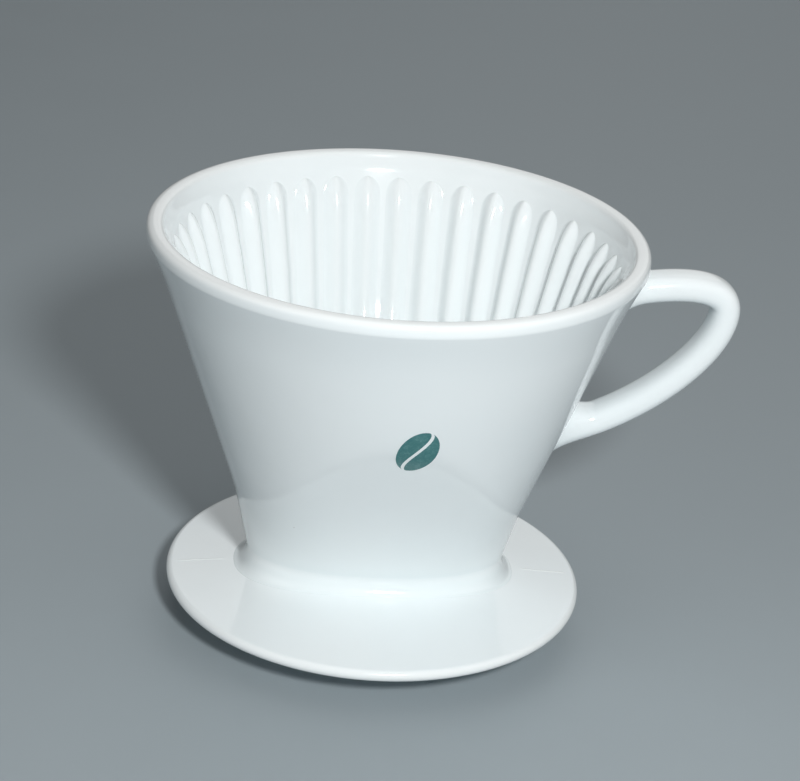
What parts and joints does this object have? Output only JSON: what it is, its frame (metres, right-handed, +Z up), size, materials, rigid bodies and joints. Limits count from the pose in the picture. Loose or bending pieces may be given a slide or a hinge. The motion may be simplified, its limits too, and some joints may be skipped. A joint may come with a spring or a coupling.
{
  "type": "pour over dripper",
  "caption": "White porcelain pour-over coffee filter holder: ribbed round mouth narrowing to an oblong base, wide saucer flange with a collar for the cup, ear handle.",
  "frame": {"origin": "on the axis of the round collar under the flange, in the plane of the table the foot stands on", "axes": "+Z up out of the mouth, +X towards the handle, the long way of the oblong base; -Y is the printed front"},
  "size_m": [0.1501, 0.1248, 0.1064],
  "materials": {
    "glazed_porcelain": "gloss white glaze over porcelain",
    "bare_porcelain": "unglazed, fine ground foot",
    "green_print": "green underglaze print"
  },
  "bodies": {
    "root": {"mouth_rim": "glazed_porcelain", "cone_wall": "glazed_porcelain", "wedge_wall": "glazed_porcelain", "filter_ribs": "glazed_porcelain", "drip_floor": "glazed_porcelain", "foot_blend": "glazed_porcelain", "saucer_flange": "glazed_porcelain", "flange_edge": "glazed_porcelain", "cup_collar": "glazed_porcelain", "bare_foot": "bare_porcelain", "handle_loop": "glazed_porcelain", "handle_top_root": "glazed_porcelain", "handle_low_root": "glazed_porcelain", "mould_seams": "glazed_porcelain", "bean_mark": "green_print"}
  },
  "joints": []
}
